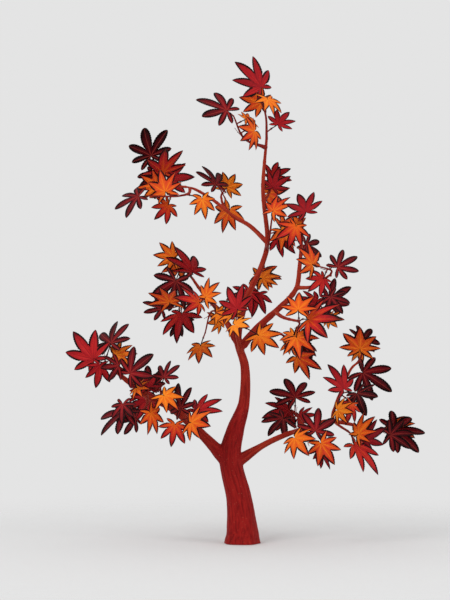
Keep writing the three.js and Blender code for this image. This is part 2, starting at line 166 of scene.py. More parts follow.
LIMBS = {
    "trunk": grown_from(
        GROUND, 0, [56, 48.5, 39, 34.7, 28, 17.5, 13.7, 12.4, 9.5, 8.5, 7.5, 6.2, 4.3], [0, 0, 0],
        [0, 0, 40], [-10, 3, 140], [-36, 8, 260], [-22, 5, 345], [6, -1, 435], [9, -4, 545],
        [-13, 0, 635], [12, 15, 750], [63, 26, 865], [79, 18, 945], [65, -3, 1095], [76, -15, 1255],
    ),

    "lower_left": grown_from(
        "trunk", 0.236, [20, 14.5, 14, 12.5, 11, 8.5, 5.2], [-118, 10, 330], [-205, 20, 410],
        [-260, 15, 440], [-300, 0, 460], [-350, -30, 500], [-390, -50, 535],
    ),
    "left_near": grown_from("lower_left", 0.3, [6.5, 3.8], [-155, -20, 380], [-155, -65, 390]),
    "left_back": grown_from("lower_left", 0.42, [6.5, 3.8], [-225, 75, 435], [-250, 140, 460]),
    "left_inner": grown_from("lower_left", 0.5, [6.5, 3.8], [-250, -15, 445], [-250, -50, 460]),
    "left_front": grown_from("lower_left", 0.66, [6.5, 3.8], [-290, -60, 440], [-295, -110, 425]),
    "left_riser": grown_from("lower_left", 0.8, [6.5, 3.8], [-335, -45, 490], [-335, -75, 510]),

    "lower_right": grown_from(
        "trunk", 0.234, [17, 9.6, 8.4, 8, 7.8, 7, 5.5, 4.2], [60, 40, 297], [130, 65, 329],
        [195, 85, 350], [260, 100, 370], [300, 105, 370], [350, 115, 360], [415, 125, 340],
    ),
    "right_front": grown_from("lower_right", 0.36, [5.5, 3.8], [165, 0, 340], [190, -60, 330]),
    "right_near": grown_from("lower_right", 0.46, [5.5, 3.8], [195, 120, 360], [180, 165, 380]),
    "right_drop": grown_from("lower_right", 0.68, [5, 3.6], [305, 65, 360], [330, 20, 345]),
    "right_riser": grown_from(
        "lower_right", 0.66, [6.6, 3.6], [290, 115, 405], [315, 150, 465], [345, 175, 530],
        [370, 190, 555],
    ),
    "right_inner": grown_from("right_riser", 0.3, [4.8, 3.4], [300, 80, 430], [305, 40, 450]),

    "front_bough": grown_from("trunk", 0.542, [8, 4], [-15, -90, 645], [-15, -190, 670]),
    "right_limb": grown_from(
        "trunk", 0.553, [13, 11.5, 8.8, 8, 6.5, 4.8], [50, -45, 670], [125, -95, 740],
        [165, -115, 790], [175, -120, 860], [180, -125, 925],
    ),
    "right_low": grown_from("right_limb", 0.25, [6, 3.6], [80, 10, 660], [125, 60, 645]),
    "right_mid": grown_from("right_limb", 0.33, [6.5, 3.8], [125, -170, 700], [165, -240, 690]),
    "right_outer": grown_from("right_limb", 0.45, [6.5, 3.8], [180, -40, 725], [225, 0, 730]),
    "right_shoot": grown_from("right_limb", 0.6, [6.5, 3.6], [215, -165, 795], [265, -205, 830]),

    "left_limb": grown_from(
        "trunk", 0.566, [11, 8.5, 7, 5.5, 4.2], [-60, 50, 705], [-95, 90, 745], [-130, 135, 785],
        [-155, 165, 820],
    ),
    "left_thin": grown_from("left_limb", 0.2, [5, 3.2], [-60, 70, 705], [-80, 110, 720]),
    "left_low": grown_from("left_limb", 0.3, [6, 3.6], [-65, 0, 720], [-85, -50, 740]),
    "left_side": grown_from("left_limb", 0.6, [5.5, 3.4], [-145, 125, 745], [-175, 150, 740]),

    "centre_bough": grown_from("trunk", 0.683, [7, 3.8], [20, 110, 780], [35, 190, 805]),
    "upper_left": grown_from(
        "trunk", 0.823, [7.5, 3.8], [25, 60, 985], [-25, 95, 1015], [-85, 130, 1065],
        [-150, 155, 1105], [-200, 175, 1115],
    ),
    "upper_back": grown_from("upper_left", 0.45, [5.5, 3.4], [-60, 180, 1060], [-65, 235, 1085]),
    "upper_low": grown_from("upper_left", 0.85, [5.5, 3.4], [-165, 90, 1090], [-180, 30, 1080]),
}
print(len(LIMBS), "limbs in the table")

# %% [markdown]
# ## Smooth curves
#
# A limb never has a corner. A uniform Catmull-Rom curve goes through every point it is given and
# keeps its direction from one span to the next, which is just how a shoot grows on from last
# year's wood. It needs no handles, unlike a Bezier curve, so a bare list of points is enough.

# %% Curves
SMALL_STEP = 1e-4  # share of a curve over which its direction is measured


class SmoothCurve:
    """A uniform Catmull-Rom curve. Past each end it carries on as a mirror image."""

    def __init__(self, points):
        self.points = np.array(points, float)
        before = 2 * self.points[0] - self.points[1]
        after = 2 * self.points[-1] - self.points[-2]
        self.guides = np.vstack([before, self.points, after])

    def point(self, at):
        """The place at a share of the way from foot to tip, or a place for each share."""
        place = np.asarray(at, float) * (len(self.points) - 1)
        span = np.clip(place.astype(int), 0, len(self.points) - 2)
        t = (place - span)[..., None]
        a, b, c, d = (self.guides[span + i] for i in range(4))
        lead, leave = (c - a) / 2, (d - b) / 2
        square, cube = 3 * (c - b) - 2 * lead - leave, 2 * (b - c) + lead + leave
        return b + t * lead + t**2 * square + t**3 * cube

    def heading(self, at):
        """The direction at a share of the way, which at each end is that of the last two points."""
        if at <= 0:
            return unit(self.points[1] - self.points[0])
        if at >= 1:
            return unit(self.points[-1] - self.points[-2])
        return unit(self.point(at + SMALL_STEP) - self.point(at - SMALL_STEP))


def unit(v):
    """v at length 1."""
    return v / np.linalg.norm(v)


def between(values, at):
    """A value between values that stand at even steps from 0 to 1."""
    return np.interp(at, np.linspace(0, 1, len(values)), values)


limb_curves = {}
for name, limb in LIMBS.items():
    points = list(limb["through"])
    if limb["from"] != GROUND:
        points.insert(0, limb_curves[limb["from"]].point(limb["at"]))
    limb_curves[name] = SmoothCurve(points)
print("the leader's tip is", round(limb_curves["trunk"].point(1)[2]), "mm above the ground")

# %% [markdown]
# ## Closed tubes
#
# Twigs, stalks and buds are all the same form: rings of corners carried along a line, closed with
# a point at both ends. Blender can make it with a bevelled curve, but that leaves the ends open
# and the rings hard to place, so it is written out: each ring is turned as little as possible
# from the one before, which stops the tube from twisting.

# %% Sweep
ODD_WAY = [0.31, 0.95, 0.05]  # a direction that no limb or twig follows


def rings_along(line):
    """At each point of a line its direction and two more that are square on it, without a twist."""
    steps = np.gradient(line, axis=0)
    ways = steps / np.linalg.norm(steps, axis=1)[:, None]
    side = unit(np.cross(ways[0], ODD_WAY))
    sides = []
    for way in ways:
        side = unit(side - side.dot(way) * way)
        sides.append(side)
    sides = np.array(sides)
    return ways, sides, np.cross(ways, sides)


def sweep(line, radii, ring_corners):
    """Corners and triangles of a closed tube with rounded ends."""
    line, radii = np.asarray(line, float), np.asarray(radii, float)
    ways, sides, lifts = rings_along(line)
    turn = np.arange(ring_corners) * 2 * math.pi / ring_corners
    circle = np.cos(turn)[:, None] * sides[:, None] + np.sin(turn)[:, None] * lifts[:, None]
    rings = line[:, None] + radii[:, None, None] * circle
    ends = [line[0] - ways[0] * radii[0] / 2, line[-1] + ways[-1] * radii[-1] / 2]
    corners = np.vstack([rings.reshape(-1, 3), ends])

    here = np.arange(ring_corners)
    following = (here + 1) % ring_corners
    faces = []
    for ring in range(len(line) - 1):
        low, high = ring * ring_corners, (ring + 1) * ring_corners
        faces.append(np.stack([low + here, low + following, high + following], 1))
        faces.append(np.stack([low + here, high + following, high + here], 1))
    foot, tip = len(corners) - 2, len(corners) - 1
    last = (len(line) - 1) * ring_corners
    faces.append(np.stack([np.full(ring_corners, foot), following, here], 1))
    faces.append(np.stack([np.full(ring_corners, tip), last + here, last + following], 1))
    return corners, np.vstack(faces)


class Bundle:
    """Many small closed forms that end up as one mesh. Each face knows which material it takes."""

    def __init__(self):
        self.corners, self.faces, self.tints, self.total = [], [], [], 0

    def add(self, corners, faces, tint=0):
        self.corners.append(corners)
        self.faces.append(faces + self.total)
        self.tints.append(np.broadcast_to(tint, len(faces)))
        self.total += len(corners)

    def make(self, name, materials):
        mesh = bpy.data.meshes.new(name)
        mesh.from_pydata(np.vstack(self.corners) * MM, [], np.vstack(self.faces))
        for material in materials:
            mesh.materials.append(material)
        mesh.polygons.foreach_set("material_index", np.concatenate(self.tints).astype(np.int32))
        mesh.polygons.foreach_set("use_smooth", np.ones(len(mesh.polygons), bool))
        mesh.update()
        print(name, "has", len(mesh.polygons), "triangles")
        return put_in_scene(name, mesh)


# %% [markdown]
# ## The bark: one skin over all limbs
#
# Where a bough leaves a real trunk there is no seam. The wood swells into a collar and the two
# barks run into each other. Tubes that only cross would show a hard line there, so the tubes are
# fused: a voxel remesh turns the crossing tubes into one even skin, and the creases at the forks
# are then smoothed out until they look grown. Modelling each fork by hand, or metaballs, would
# give a similar fillet with far less say over the taper.

# %% Trunk and bough tubes
RING_SPACING = 4.0  # mm along a limb
FEWEST_RINGS = 6
LENGTH_SAMPLES = 400  # places that measure how long a limb is
THICK_LIMB = 10  # mm of radius at the foot
THICK_RING, THIN_RING = 28, 16  # corners round a thick and a thin limb
COLLAR_SWELL = 0.25  # how much thicker a bough is where it leaves its parent
COLLAR_REACH = 1.1  # how far that fades, as a multiple of the bough's radius
INSIDE_PARENT = 0.9  # most of the parent's radius that the bough has inside it
ROOT_DEPTH = 24.0  # mm that the trunk's tube runs on below the cut, before it is cut flat

rough_limbs = Bundle()
rings, forks = [], []
for name, limb in LIMBS.items():
    curve, foot_radius = limb_curves[name], limb["radii"][0]
    samples = curve.point(np.linspace(0, 1, LENGTH_SAMPLES))
    length = np.linalg.norm(np.diff(samples, axis=0), axis=1).sum()
    shares = np.linspace(0, 1, max(FEWEST_RINGS, round(length / RING_SPACING)))
    line, radii = curve.point(shares), between(limb["radii"], shares)
    along = shares * length
    if limb["from"] == GROUND:
        line = np.vstack([line[0] - [0, 0, ROOT_DEPTH], line])
        radii = np.concatenate([radii[:1], radii])
        along = np.concatenate([[-ROOT_DEPTH], along])
    else:
        parent_radius = between(LIMBS[limb["from"]]["radii"], limb["at"])
        past_bark = np.clip(along - parent_radius, 0, None)
        radii = radii * (1 + COLLAR_SWELL * np.exp(-past_bark / (COLLAR_REACH * foot_radius)))
        inside = np.minimum(radii, INSIDE_PARENT * parent_radius)
        radii = np.where(along < parent_radius, inside, radii)
        forks.append((line[0], parent_radius + foot_radius))
    ways, sides, _ = rings_along(line)
    rings.append((line, ways, sides, radii, along))
    rough_limbs.add(*sweep(line, radii, THICK_RING if foot_radius > THICK_LIMB else THIN_RING))
axis_points, axis_ways, axis_sides, axis_radii, axis_along = map(np.concatenate, zip(*rings))
print(len(axis_points), "rings on", len(LIMBS), "limbs, and", len(forks), "forks")

# %% Fuse the tubes into one skin
SKIN_GRID = 2.25  # mm

rough = rough_limbs.make("rough_limbs", [])
remesh = rough.modifiers.new("fuse", "REMESH")
remesh.mode = "VOXEL"
remesh.voxel_size = SKIN_GRID * MM
fused = bpy.data.meshes.new_from_object(rough.evaluated_get(bpy.context.evaluated_depsgraph_get()))
bpy.data.objects.remove(rough)
print("the fused skin has", len(fused.polygons), "faces")

# %% Smooth the forks
SOFTEN_ROUNDS = 3  # over the whole skin, against the grid's steps
SHRINK, GROW_BACK = 0.6, -0.62  # each round's two steps, so that thin shoots keep their girth
FORK_ROUNDS = 13  # at the forks, until a crease is a fillet
FORK_WEIGHT = 0.7
FORK_SPREAD = 1.15  # how far from a fork, as a multiple of both limbs' radii


def read(items, name, width, kind=float):
    """The numbers that a mesh holds for its corners or edges, one row for each."""
    flat = np.empty(len(items) * width, kind)
    items.foreach_get(name, flat)
    return flat.reshape(-1, width)


def soften(corners, edges, weight):
    """Moves each corner towards the middle of its neighbours by its weight."""
    one, other = edges[:, 0], edges[:, 1]
    count = np.bincount(edges.ravel(), minlength=len(corners))
    total = np.stack([
        np.bincount(one, corners[other, axis], len(corners))
        + np.bincount(other, corners[one, axis], len(corners))
        for axis in range(3)
    ], 1)
    return corners + (total / count[:, None] - corners) * weight[:, None]


skin = read(fused.vertices, "co", 3) / MM
edges = read(fused.edges, "vertices", 2, np.int32)
everywhere = np.ones(len(skin))
for _ in range(SOFTEN_ROUNDS):
    skin = soften(skin, edges, SHRINK * everywhere)
    skin = soften(skin, edges, GROW_BACK * everywhere)
near_fork = np.zeros(len(skin))
for place, reach in forks:
    away = np.linalg.norm(skin - place, axis=1) / reach
    near_fork = np.maximum(near_fork, np.exp(-(away / FORK_SPREAD) ** 4))
for _ in range(FORK_ROUNDS):
    skin = soften(skin, edges, FORK_WEIGHT * near_fork)
print(int((near_fork > 0.5).sum()), "corners lie close to a fork")

# %% [markdown]
# ## Relief in the bark
#
# A young maple's bark is thin and close. It has long shallow furrows that follow the wood, low
# ribs at the root flare, wrinkles in the collar under each fork, and a slight ring at every old
# bud. The furrows, ribs and rings are carved here, and near a fork the relief is kept lower. All
# of these follow the limb, so each corner of the skin first has to know the limb it is on: how far
# along it lies, and where round it. The relief is moved into the mesh itself, because a bump in the
# material alone leaves the outline perfectly smooth.

# %% Where each corner lies on its limb
CHUNK = 4000  # corners compared at a time, to keep the tables small

nearest = np.empty(len(skin), int)
for start in range(0, len(skin), CHUNK):
    part = skin[start:start + CHUNK].astype(np.float32)
    away = np.linalg.norm(part[:, None] - axis_points[None].astype(np.float32), axis=2)
    nearest[start:start + CHUNK] = np.argmin(away - axis_radii, axis=1)

offset = skin - axis_points[nearest]
ways, sides = axis_ways[nearest], axis_sides[nearest]
along = axis_along[nearest] + (offset * ways).sum(1)
across = offset - (offset * ways).sum(1)[:, None] * ways
turn = np.arctan2((across * np.cross(ways, sides)).sum(1), (across * sides).sum(1))
girth = axis_radii[nearest]
print("girth runs from", round(girth.min(), 1), "to", round(girth.max(), 1), "mm")

# %% Carve the relief
TRUNK_GIRTH = 25  # mm of radius; only the foot of the trunk is thicker
ROOT_RIBS, ROOT_RIB_TURN = 5, 0.8
ROOT_RIB_HEIGHT = 2.6  # mm at the ground
ROOT_RIB_FADE = 90.0  # mm up the trunk
FURROW_WIDTH = 7.0  # mm round the limb
FURROW_LENGTH = 60.0  # mm along it
FURROW_FALL, FURROW_GAP, FURROW_LAYERS = 0.7, 2.1, 3  # of the noise, from broad to fine
FURROW_DEPTH = 0.9  # mm where the radius is DEEP_GIRTH or more
DEEP_GIRTH, LEAST_DEPTH = 30, 0.12  # mm, and the share of the depth that thin wood keeps
SWELLING_SPACING = 31.0  # mm between the rings of old buds on a shoot
SWELLING_HEIGHT = 0.5  # mm
SWELLING_SHARPNESS = 24  # an even power, which narrows a wave to a ring
SHOOT_GIRTH, THINNEST_SHOOT = 9, 5  # mm; the rings start at one radius and are full at the other
FORK_CALM = 0.6  # how much of the relief a fork loses

grain = np.stack([np.cos(turn) * girth, np.sin(turn) * girth, along], 1)
furrows = np.array([
    noise.fractal(Vector(place), FURROW_FALL, FURROW_GAP, FURROW_LAYERS)
    for place in grain / [FURROW_WIDTH, FURROW_WIDTH, FURROW_LENGTH]
])
on_trunk = np.exp(-np.clip(skin[:, 2], 0, None) / ROOT_RIB_FADE) * (girth > TRUNK_GIRTH)
relief = ROOT_RIB_HEIGHT * on_trunk * np.cos(ROOT_RIBS * turn + ROOT_RIB_TURN)
relief += FURROW_DEPTH * np.clip(girth / DEEP_GIRTH, LEAST_DEPTH, 1) * np.clip(furrows, -1, 1)
thin = np.clip((SHOOT_GIRTH - girth) / (SHOOT_GIRTH - THINNEST_SHOOT), 0, 1)
relief += thin * SWELLING_HEIGHT * np.cos(math.pi * along / SWELLING_SPACING) ** SWELLING_SHARPNESS

away = across / np.maximum(np.linalg.norm(across, axis=1), TINY)[:, None]
skin = skin + away * (relief * (1 - FORK_CALM * near_fork))[:, None]
print("relief from", round(relief.min(), 2), "to", round(relief.max(), 2), "mm")

# %% Cut the foot flat and make the bark a piece
OLD_GIRTH, YOUNG_GIRTH = 22, 5  # mm of radius where bark is all old, and all young
BARK_CREASE = 60  # degrees; a sharper edge stays sharp, such as the rim of the cut

fused.vertices.foreach_set("co", (skin * MM).ravel())
fused.attributes.new("grain", "FLOAT_VECTOR", "POINT").data.foreach_set("vector", grain.ravel())
youth = np.clip((OLD_GIRTH - girth) / (OLD_GIRTH - YOUNG_GIRTH), 0, 1)
fused.attributes.new("youth", "FLOAT", "POINT").data.foreach_set("value", youth)

shape = bmesh.new()
shape.from_mesh(fused)
everything = shape.verts[:] + shape.edges[:] + shape.faces[:]
cut = bmesh.ops.bisect_plane(
    shape, geom=everything, plane_co=(0, 0, 0), plane_no=(0, 0, -1), clear_outer=True
)
rim = [e for e in cut["geom_cut"] if isinstance(e, bmesh.types.BMEdge)]
bmesh.ops.contextual_create(shape, geom=rim)
bmesh.ops.triangulate(shape, faces=shape.faces[:])
for face in shape.faces:
    face.smooth = True
bark_mesh = bpy.data.meshes.new("bark")
shape.to_mesh(bark_mesh)
shape.free()
bark_mesh.set_sharp_from_angle(angle=math.radians(BARK_CREASE))
bpy.data.meshes.remove(fused)
bark = put_in_scene("bark", bark_mesh)
print("bark has", len(bark_mesh.polygons), "triangles")

# %% [markdown]
# ## Bark: living maple bark, grown and never worked
#
# The bark of a red-stemmed maple is smooth and thin, and grew in place. As the stem thickens, the
# outer skin stretches sideways and opens in fine furrows along the wood. The streaks of colour
# along the grain are the bark's own tone; that they are darker in the furrows, where the bump
# sinks, and lighter on the raised strips between them, is painted shade. Small pale breathing
# pores, the lenticels, lie across the stem. Young shoots still have last summer's skin, which is
# brighter and glossier. To the eye it is a dull satin with a grain that runs up the tree, so the
# noise is stretched along each limb.

# %% Bark material
# Each ramp runs from a furrow to a raised strip. Its dark furrow stop is painted shade, put where
# the bump sinks.
OLD_WOOD = [(0.34, "#6a0a0a"), (0.5, "#861110"), (0.68, "#971913")]  # furrow, skin, raised strip
YOUNG_WOOD = [(0.3, "#76180f"), (0.5, "#942817"), (0.7, "#a83e24")]
STRIP_WIDTH = 6.0  # mm; real strips are about 1 mm, and are drawn coarser so that they show
STRIP_STRETCH = 0.1  # a strip is ten times as long as it is wide
STRIP_RANGE = (0.3, 0.7)  # of the noise, from a furrow to a raised strip
STRIP_ROUGHNESS = (0.78, 0.6)  # in a furrow, and on a raised strip that leaves and rain rub
PORE_COLOUR = "#a9533f"
PORE_SPACING = 16.0  # mm round the limb; real ones are a little closer
PORE_FLATNESS = 3.2  # a pore is this much wider than it is high
PORE_EDGE = (0.16, 0.08)  # of the spacing, from its rim to its middle
PORE_STRENGTH = 0.7
BARK_BUMP, BUMP_STRENGTH = 0.5 * MM, 0.7
BARK_IOR = 1.5  # dry plant skin with a trace of wax
BARK_SHINE = 0.1  # dust and fine furrows take most of the shine away


def colour_ramp(tree, factor, stops):
    """Runs through (position, hex colour) stops as the factor rises."""
    ramp = add_node(tree, "ShaderNodeValToRGB", inputs={"Fac": factor})
    elements = ramp.color_ramp.elements
    elements[0].position, elements[1].position = stops[0][0], stops[-1][0]
    for position, _ in stops[1:-1]:
        elements.new(position)
    for element, (_, hex_colour) in zip(elements, stops):
        element.color = linear(hex_colour)
    return ramp.outputs["Color"]


def mix_colours(tree, share, one, other):
    """One colour, or the other where the share is 1."""
    inputs = {0: share, 6: one, 7: other}
    return add_node(tree, "ShaderNodeMix", {"data_type": "RGBA"}, inputs).outputs[2]


def scaled_along(tree, place, scale):
    """A place on a limb with its way along the limb scaled."""
    inputs = {"Vector": place, "Scale": (1, 1, scale)}
    return add_node(tree, "ShaderNodeMapping", inputs=inputs).outputs[0]


bark_finish, tree = new_material("living_maple_bark")
place = add_node(tree, "ShaderNodeAttribute", {"attribute_name": "grain"}).outputs["Vector"]
youth_here = add_node(tree, "ShaderNodeAttribute", {"attribute_name": "youth"}).outputs["Fac"]
strips = add_node(tree, "ShaderNodeTexNoise", inputs={
    "Vector": scaled_along(tree, place, STRIP_STRETCH), "Scale": 1 / STRIP_WIDTH,
    "Detail": 4.0, "Roughness": 0.6, "Distortion": 0.4,
}).outputs["Fac"]
# The noise that lowers the bump also darkens the colour there: painted shade in the furrows.
old_wood, young_wood = (colour_ramp(tree, strips, stops) for stops in (OLD_WOOD, YOUNG_WOOD))
pore_distance = add_node(tree, "ShaderNodeTexVoronoi", inputs={
    "Vector": scaled_along(tree, place, PORE_FLATNESS), "Scale": 1 / PORE_SPACING,
}).outputs["Distance"]
pore = map_range(tree, pore_distance, *PORE_EDGE, 0.0, PORE_STRENGTH)
by_age = mix_colours(tree, youth_here, old_wood, young_wood)
coloured = mix_colours(tree, pore, by_age, linear(PORE_COLOUR))
height = add_node(tree, "ShaderNodeMath", {"operation": "ADD"}, {0: strips, 1: pore}).outputs[0]
bump = add_node(
    tree, "ShaderNodeBump",
    inputs={"Strength": BUMP_STRENGTH, "Distance": BARK_BUMP, "Height": height},
)
gloss = map_range(tree, strips, *STRIP_RANGE, *STRIP_ROUGHNESS)
plant_surface(tree, coloured, gloss, BARK_IOR, BARK_SHINE, Normal=bump.outputs[0])

bark_mesh.materials.append(bark_finish)
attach(bark, "root")
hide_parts(*limb_nodes)
print("the bark stands for", len(limb_nodes), "limbs")

# %% [markdown]
# ## The rule that places the leaves
#
# Every maple carries its leaves in opposite pairs, each pair turned a quarter from the last, on
# stems that end in a single leaf. The rule says how far a twig leans out, how long its stalk is
# and which way the blade faces, and draws each number between two limits. The draws come from a
# small generator that is written out here, so the same seed gives the same spray in any program.
# Particles or geometry nodes could scatter leaves as well, but not in pairs that answer to a bud.

# %% Limits of the rule
PAIR_SPACING = 0.3  # between pairs of side twigs, as a share of the stem
PAIR_STRAY = (0.5, 1.5)  # how much that spacing varies
LOWEST_PAIR = 0.12  # no pair sits lower than this on the stem
TWIG_LENGTH = (22, 80)  # mm from the stem to the blade
END_TWIG = 0.6  # the twig at the stem's end is shorter by this factor
END_LEAN, SIDE_LEAN = (0, 40), (30, 95)  # degrees that a twig leans off the stem
SCATTER = 80  # degrees that a side twig strays round the stem
SAG = 0.25  # most that a twig hangs, as a share of its length
TWIG_SHARE = 0.4  # of the way from the stem to the blade is side twig, the rest is leaf stalk
FACE_TURN, FACE_TILT = 50, 45  # degrees that a blade faces sideways, and up
SWING = 60  # degrees that a blade points off the line of its stalk
HANG = 0.15  # how much a blade's point drops
SIZE_RANGE = (0.7, 1.3)  # of a kind's length
CROWN_MIDDLE = 20  # y of the plane that the blades face away from
STEM_STRAIGHT, STEM_PULL = 0.3, 0.25  # shares of its reach that bend a stem's first half
STEM_FOOT_RADIUS, STEM_TIP_RADIUS = 5, 2.2
GAP, BARK_GAP = 0.35, 0.7  # from a limb's tip, or its bark, to the foot of a stem
NEARLY_ALONG = 0.9  # upward share of a stem's direction from which it counts as upright

LEAF_KINDS = {
    "maroon": {
        "length": 84, "lobes": [(0, 1), (44, 0.92), (86, 0.72), (130, 0.52)],
        "rise": 0.95, "fall": 0.76, "width": 0.134, "neck": 0.042, "margin": 4.0,
    },
    "crimson": {
        "length": 92, "lobes": [(0, 1), (38, 0.88), (77, 0.68), (120, 0.42)],
        "rise": 0.7, "fall": 0.88, "width": 0.13, "neck": 0.048, "margin": 3.8,
    },
    "orange": {
        "length": 68, "lobes": [(0, 1), (40, 0.92), (80, 0.78), (124, 0.58)],
        "rise": 0.42, "fall": 0.9, "width": 0.152, "neck": 0.056, "margin": 3.6,
    },
}
print("kinds of leaf:", ", ".join(LEAF_KINDS))

# %% [markdown]
# Each mass of leaves is one row: the limb that carries it, where its stem starts, how far the
# stem reaches, the first letters of its leaves' kinds from the stem's end downwards, and the
# seed of its draws.

# %% Table of leaf masses
KIND_OF = {kind[0]: kind for kind in LEAF_KINDS}


def spray(limb, at, reach, letters, seed):
    """A row of the table, with the letters spelled out."""
    kinds = [KIND_OF[letter] for letter in letters]
    return {"on": limb, "at": at, "reach": reach, "leaves": kinds, "seed": seed}


MASSES = {
    "crown_top": spray("trunk", 1, [-20, 0, 120], "cooc", 64525),
    "crown_left": spray("trunk", 0.985, [-95, -45, 92], "moo", 1423215),
    "upper_left_end": spray("upper_left", 1, [-65, 15, 60], "mcmoc", 422215),
    "upper_left_low": spray("upper_low", 1, [-95, -45, -5], "moco", 275064),
    "upper_left_back": spray("upper_back", 1, [10, 20, 20], "omo", 634659),
    "upper_right": spray("trunk", 0.808, [15, -75, 100], "oooc", 285318),
    "upper_twig": spray("trunk", 0.9, [20, 55, 50], "cco", 248056),
    "right_limb_end": spray("right_limb", 1, [5, -10, 75], "cocm", 195313),
    "right_shoot_end": spray("right_shoot", 1, [-40, -10, 25], "omc", 386966),
    "right_outer": spray("right_outer", 1, [25, 15, 10], "mmoc", 15778),
    "right_mid": spray("right_mid", 1, [0, -25, -20], "oooc", 772900),
    "right_low": spray("right_low", 1, [30, 15, -30], "omoc", 1165415),
    "centre_front": spray("front_bough", 1, [-5, -50, 25], "cooo", 172674),
    "centre_back": spray("centre_bough", 1, [10, 40, 20], "oocc", 1704033),
    "left_limb_end": spray("left_limb", 1, [-50, 10, 50], "oomc", 658343),
    "left_side": spray("left_side", 1, [-40, 10, -10], "momc", 653860),
    "left_low": spray("left_low", 1, [-15, -30, 5], "oco", 1029563),
    "left_pendant": spray("left_thin", 1, [-35, 40, -70], "oo", 93060),
    "lower_left_end": spray("lower_left", 1, [-50, -25, 30], "cmco", 904946),
    "lower_left_upper": spray("left_riser", 1, [-5, -35, 10], "mmo", 1298979),
    "lower_left_inner": spray("left_inner", 1, [0, -35, 25], "mco", 604121),
    "lower_left_front": spray("left_front", 1, [-35, -40, -5], "mmmo", 557082),
    "lower_left_near": spray("left_near", 1, [-5, -45, 5], "omcc", 87960),
    "lower_left_back": spray("left_back", 1, [-30, 45, 15], "cmc", 10),
    "lower_right_end": spray("lower_right", 1, [45, 5, 5], "mom", 2993292),
    "lower_right_drop": spray("right_drop", 1, [10, -20, -15], "coc", 259838),
    "riser_end": spray("right_riser", 1, [10, 5, 50], "moom", 344778),
    "riser_inner": spray("right_inner", 1, [5, -20, 15], "cmoc", 677640),
    "lower_right_front": spray("right_front", 1, [15, -30, -5], "oocm", 219301),
    "lower_right_back": spray("right_near", 1, [-15, 25, 20], "cmcm", 1252772),
}
print(len(MASSES), "masses of leaves in the table")

# %% The seeded draws
WORD = 0xFFFFFFFF  # the generator works on 32-bit whole numbers


def seeded_draw(seed):
    """Draws numbers between a low and a high end, always the same ones from the same seed.

    The whole numbers in it are the generator's own, picked to mix the bits well.
    """
    state = seed

    def draw(low, high):
        nonlocal state
        state = (state + 0x6D2B79F5) & WORD
        mixed = (state ^ (state >> 15)) * (1 | state) & WORD
        mixed = (mixed + ((mixed ^ (mixed >> 7)) * (61 | mixed) & WORD)) & WORD ^ mixed
        return low + (high - low) * (mixed ^ (mixed >> 14)) / 2**32

    return draw


def turned(v, axis, angle):
    """A direction v, turned about a unit axis."""
    cos, sin = math.cos(angle), math.sin(angle)
    return v * cos + np.cross(axis, v) * sin + axis * axis.dot(v) * (1 - cos)


def flattened_on(v, normal):
    """What is left of v without its share along the normal."""
    return v - v.dot(normal) * normal


# %% Stems
def grow_stem(mass):
    """The stem's curve and its radii. It carries a limb on from its tip, or leaves its bark."""
    curve, limb_radii = limb_curves[mass["on"]], LIMBS[mass["on"]]["radii"]
    limb_radius = between(limb_radii, mass["at"])
    reach = np.array(mass["reach"], float)
    along, clear = curve.heading(mass["at"]), GAP
    if mass["at"] < 1:
        along, clear = unit(flattened_on(reach, along)), limb_radius + BARK_GAP
    foot = curve.point(mass["at"]) + along * clear
    bend = foot + along * np.linalg.norm(reach) * STEM_STRAIGHT + reach * STEM_PULL
    radii = (min(limb_radius, STEM_FOOT_RADIUS), STEM_TIP_RADIUS)
    return SmoothCurve([foot, bend, foot + reach]), radii


# %% Leaves on a stem
def place_leaves(mass, stem):
    """One leaf at the stem's end and the rest in opposite pairs down it."""
    draw = seeded_draw(mass["seed"])
    leaves = []
    for index, kind_name in enumerate(mass["leaves"]):
        kind = LEAF_KINDS[kind_name]
        pair = math.ceil(index / 2)
        share = 1 if index == 0 else max(LOWEST_PAIR, 1 - pair * PAIR_SPACING * draw(*PAIR_STRAY))
        foot, way = stem.point(share), stem.heading(share)

        lean = math.radians(draw(*(SIDE_LEAN if index else END_LEAN)))
        roll = math.radians(pair * 90 + (0 if index % 2 else 180) + draw(-SCATTER, SCATTER))
        flat = unit(np.cross(way, [0, 1, 0] if abs(way[2]) > NEARLY_ALONG else [0, 0, 1]))
        lift = np.cross(flat, way)
        spread = math.sin(lean) * (flat * math.cos(roll) + lift * math.sin(roll))
        aim = unit(way * math.cos(lean) + spread)
        length = draw(*TWIG_LENGTH) * (1 if index else END_TWIG)
        hub = foot + aim * length
        hub[2] -= length * draw(0, SAG)
        fork = foot + aim * length * TWIG_SHARE

        outward = -1 if hub[1] <= CROWN_MIDDLE else 1
        turn = math.radians(draw(-FACE_TURN, FACE_TURN))
        tilt = math.radians(draw(0, FACE_TILT))
        level = math.cos(tilt)
        face = np.array([
            math.sin(turn) * level, outward * math.cos(turn) * level, math.sin(tilt)
        ])
        swing = math.radians(draw(-SWING, SWING))
        point = flattened_on(aim, face) - [0, 0, HANG]
        point = turned(unit(flattened_on(point, face)), face, swing)
        size = kind["length"] * draw(*SIZE_RANGE)
        leaves.append({
            "kind": kind_name, "foot": foot, "fork": fork, "hub": hub, "face": face,
            "point": point, "length": size, "aim": aim, "number": index,
        })
    return leaves


# %% Grow every mass
LEAF_DROOP = 0.16  # drop of the longest lobe's tip below the middle, as a share of its length
SAME_PLACE = 0.5  # mm

stems, leaves = {}, []
for name, mass in MASSES.items():
    solid = nodes["leaves_" + name].data
    surface = BVHTree.FromPolygons(
        [v.co / MM for v in solid.vertices], [tuple(p.vertices) for p in solid.polygons]
    )
    stems[name] = grow_stem(mass)
    for leaf in place_leaves(mass, stems[name][0]):
        tip = leaf["hub"] + leaf["length"] * (leaf["point"] - LEAF_DROOP * leaf["face"])
        if surface.find_nearest(tip)[3] < SAME_PLACE:  # so the solid mass has this leaf too
            leaf["mass"] = name
            leaves.append(leaf)
print(len(leaves), "leaves in", len(stems), "masses")

